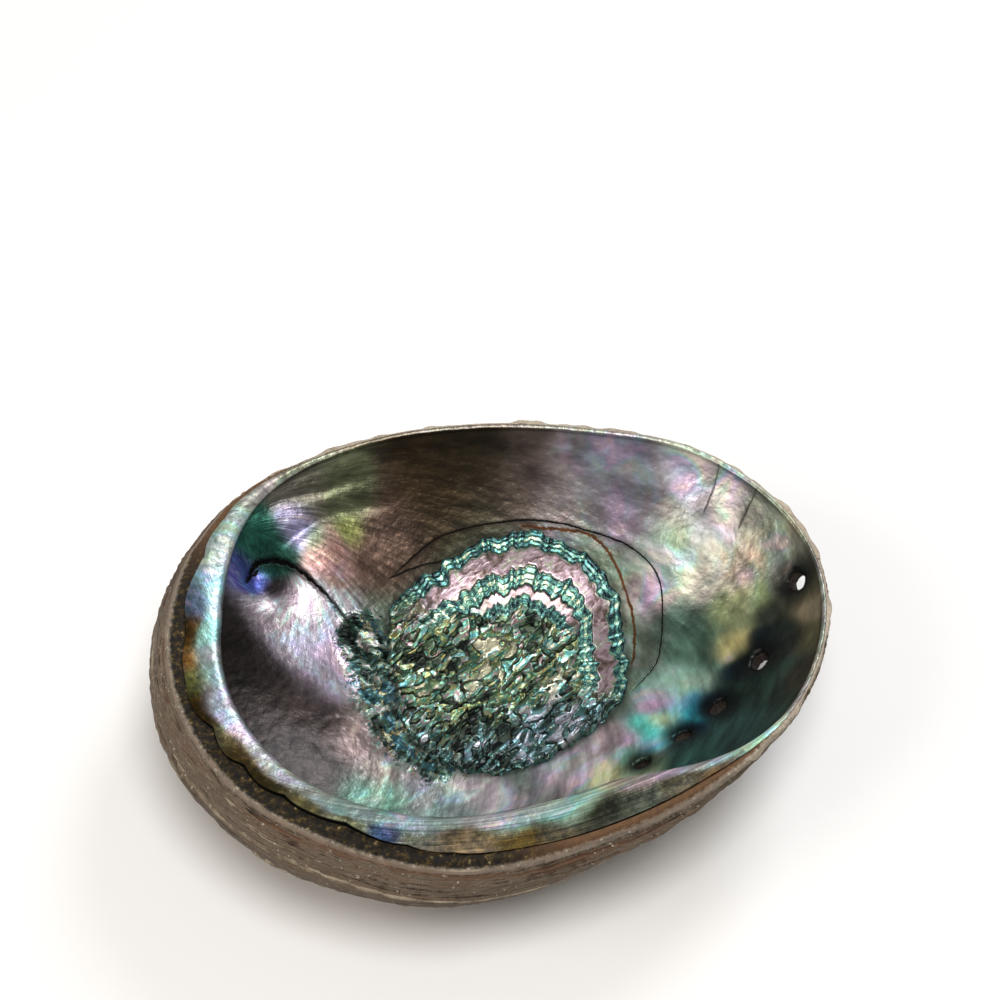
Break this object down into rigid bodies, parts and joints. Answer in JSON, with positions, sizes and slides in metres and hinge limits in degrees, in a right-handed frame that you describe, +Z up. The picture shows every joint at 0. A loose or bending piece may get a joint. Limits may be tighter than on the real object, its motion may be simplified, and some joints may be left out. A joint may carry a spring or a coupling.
{
  "type": "abalone shell",
  "caption": "Ear-shaped abalone shell lying on its back: nacre-lined bowl with a muscle scar, a flat inner lip and a row of holes.",
  "frame": {"origin": "centre of the shell's bounding box on the floor it lies on", "axes": "+X toward the front of the shell, where the youngest open hole is; -Y toward the side with the inner lip and the holes; +Z up out of the bowl"},
  "size_m": [0.1732, 0.136, 0.0424],
  "materials": {
    "shell_nacre": "grown aragonite nacre, pearly satin with green, blue and pink lustre inside; rough brown calcite outside"
  },
  "bodies": {
    "root": {"abalone_shell": "shell_nacre"}
  },
  "joints": []
}
